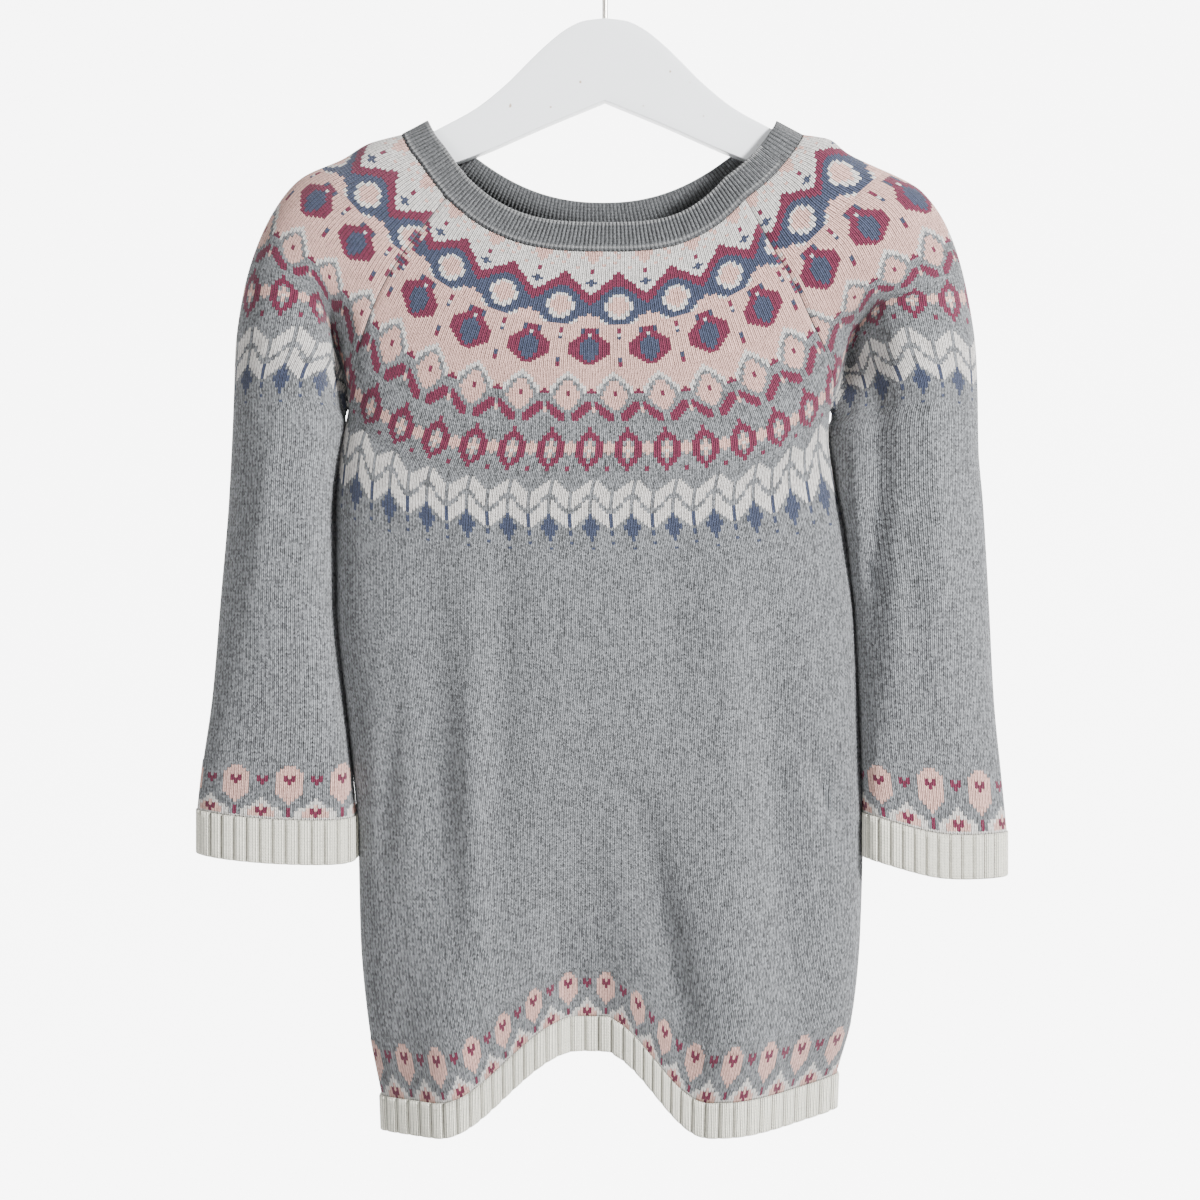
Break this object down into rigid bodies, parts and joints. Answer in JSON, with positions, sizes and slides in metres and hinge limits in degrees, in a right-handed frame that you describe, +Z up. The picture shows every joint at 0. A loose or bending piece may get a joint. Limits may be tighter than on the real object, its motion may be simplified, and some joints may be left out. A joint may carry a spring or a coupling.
{
  "type": "knit dress on a hanger",
  "caption": "Child's long-sleeved knitted dress with a round patterned yoke, ribbed neck, hem and cuffs, hung on a flat wooden hanger with a wire hook.",
  "frame": {"origin": "inside top of the hanger's hook, where it rests on a rail", "axes": "+Z up, the dress's front faces -Y, its left side as a viewer sees it is at -X"},
  "size_m": [0.4735, 0.069, 0.7212],
  "materials": {
    "grey_front": "knitted, heather grey with a patterned yoke",
    "grey_back": "knitted, heather grey with a patterned yoke",
    "grey_sleeve": "knitted, heather grey with a patterned yoke",
    "grey_rib": "knitted in fine ribs",
    "cream_rib": "knitted in broad ribs",
    "painted_board": "white paint, worn at the edges",
    "hook_wire": "plain drawn wire"
  },
  "bodies": {
    "root": {"front": "grey_front", "back": "grey_back", "sleeve_left": "grey_sleeve", "sleeve_right": "grey_sleeve", "neckband": "grey_rib", "hem_rib_front": "cream_rib", "hem_rib_back": "cream_rib", "cuff_left": "cream_rib", "cuff_right": "cream_rib", "hanger_board": "painted_board", "hanger_hook": "hook_wire"}
  },
  "joints": []
}
